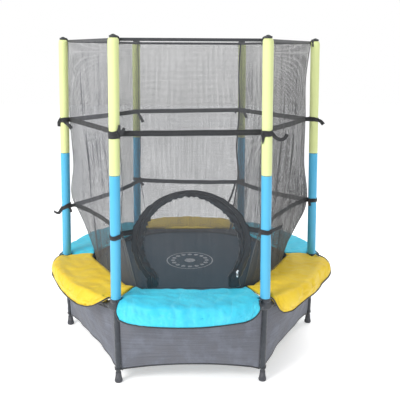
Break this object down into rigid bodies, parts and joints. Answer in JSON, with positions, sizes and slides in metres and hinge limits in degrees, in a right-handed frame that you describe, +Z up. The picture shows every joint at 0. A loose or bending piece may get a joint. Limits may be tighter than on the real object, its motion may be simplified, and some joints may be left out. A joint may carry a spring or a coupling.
{
  "type": "enclosed trampoline",
  "caption": "Small children's trampoline with a round sprung mat, padded posts, a mesh enclosure net with a zipped round door, coloured edge pads and a mesh skirt.",
  "frame": {"origin": "on the floor, under the centre of the mat", "axes": "+Z up, the zipped door faces -Y, +X to the right of someone facing the door"},
  "size_m": [1.4866, 1.4898, 1.6],
  "materials": {
    "ring_steel": "satin",
    "leg_steel": "satin",
    "pole_steel": "satin",
    "blue_foam": "satin",
    "green_foam": "satin",
    "blue_cover": "satin",
    "yellow_cover": "satin",
    "foot_rubber": "matte",
    "cap_plastic": "satin",
    "fastener_steel": "satin",
    "mat_cloth": "matte",
    "black_webbing": "matte",
    "zinc_wire": "satin",
    "net_cloth": "matte",
    "skirt_cloth": "matte",
    "sleeve_cloth": "matte",
    "zip_cloth": "satin",
    "white_plastic": "gloss"
  },
  "bodies": {
    "frame": {"ring_tube_rear_right": "ring_steel", "ring_tube_rear": "ring_steel", "ring_tube_rear_left": "ring_steel", "ring_tube_front_left": "ring_steel", "ring_tube_front": "ring_steel", "ring_tube_front_right": "ring_steel", "leg_right": "leg_steel", "leg_rear_right": "leg_steel", "leg_rear_left": "leg_steel", "leg_left": "leg_steel", "leg_front_left": "leg_steel", "leg_front_right": "leg_steel", "lower_pole_right": "pole_steel", "lower_pole_rear_right": "pole_steel", "lower_pole_rear_left": "pole_steel", "lower_pole_left": "pole_steel", "lower_pole_front_left": "pole_steel", "lower_pole_front_right": "pole_steel", "upper_pole_right": "pole_steel", "upper_pole_rear_right": "pole_steel", "upper_pole_rear_left": "pole_steel", "upper_pole_left": "pole_steel", "upper_pole_front_left": "pole_steel", "upper_pole_front_right": "pole_steel", "lower_foam_right": "blue_foam", "lower_foam_rear_right": "blue_foam", "lower_foam_rear_left": "blue_foam", "lower_foam_left": "blue_foam", "lower_foam_front_left": "blue_foam", "lower_foam_front_right": "blue_foam", "upper_foam_right": "green_foam", "upper_foam_rear_right": "green_foam", "upper_foam_rear_left": "green_foam", "upper_foam_left": "green_foam", "upper_foam_front_left": "green_foam", "upper_foam_front_right": "green_foam", "pad_rear_right": "blue_cover", "pad_rear": "yellow_cover", "pad_rear_left": "blue_cover", "pad_front_left": "yellow_cover", "pad_front": "blue_cover", "pad_front_right": "yellow_cover", "rubber_feet": "foot_rubber", "pole_caps": "cap_plastic", "frame_bolts": "fastener_steel", "frame_nuts": "fastener_steel", "springs": "zinc_wire", "enclosure_net": "net_cloth", "front_net_panel": "net_cloth", "upper_straps": "black_webbing", "lower_straps": "black_webbing", "leg_skirt": "skirt_cloth", "leg_sleeves": "sleeve_cloth", "door_zip_cover": "zip_cloth"},
    "mat": {"jumping_mat": "mat_cloth", "mat_edge_band": "black_webbing", "v_rings": "zinc_wire"},
    "door": {"door_flap": "net_cloth", "door_flap_band": "zip_cloth"},
    "slider": {"zip_slider": "white_plastic"}
  },
  "joints": [
    {"name": "mat_bounce", "type": "slide", "parent": "frame", "child": "mat", "axis": [0, 0, 1], "range_m": [-0.1, 0], "stiffness_N_per_m": 4000, "springref_m": 0.005, "deforming": ["springs"]},
    {"name": "door_swing", "type": "hinge", "parent": "frame", "child": "door", "pos_m": [0, -0.50151, 0.43949], "axis": [1, 0, 0], "range_deg": [-80, 80]},
    {"name": "zip_travel", "type": "hinge", "parent": "frame", "child": "slider", "pos_m": [0, -0.51554, 0.66555], "axis": [0, -0.9983, -0.0576], "range_deg": [0, 245]}
  ]
}
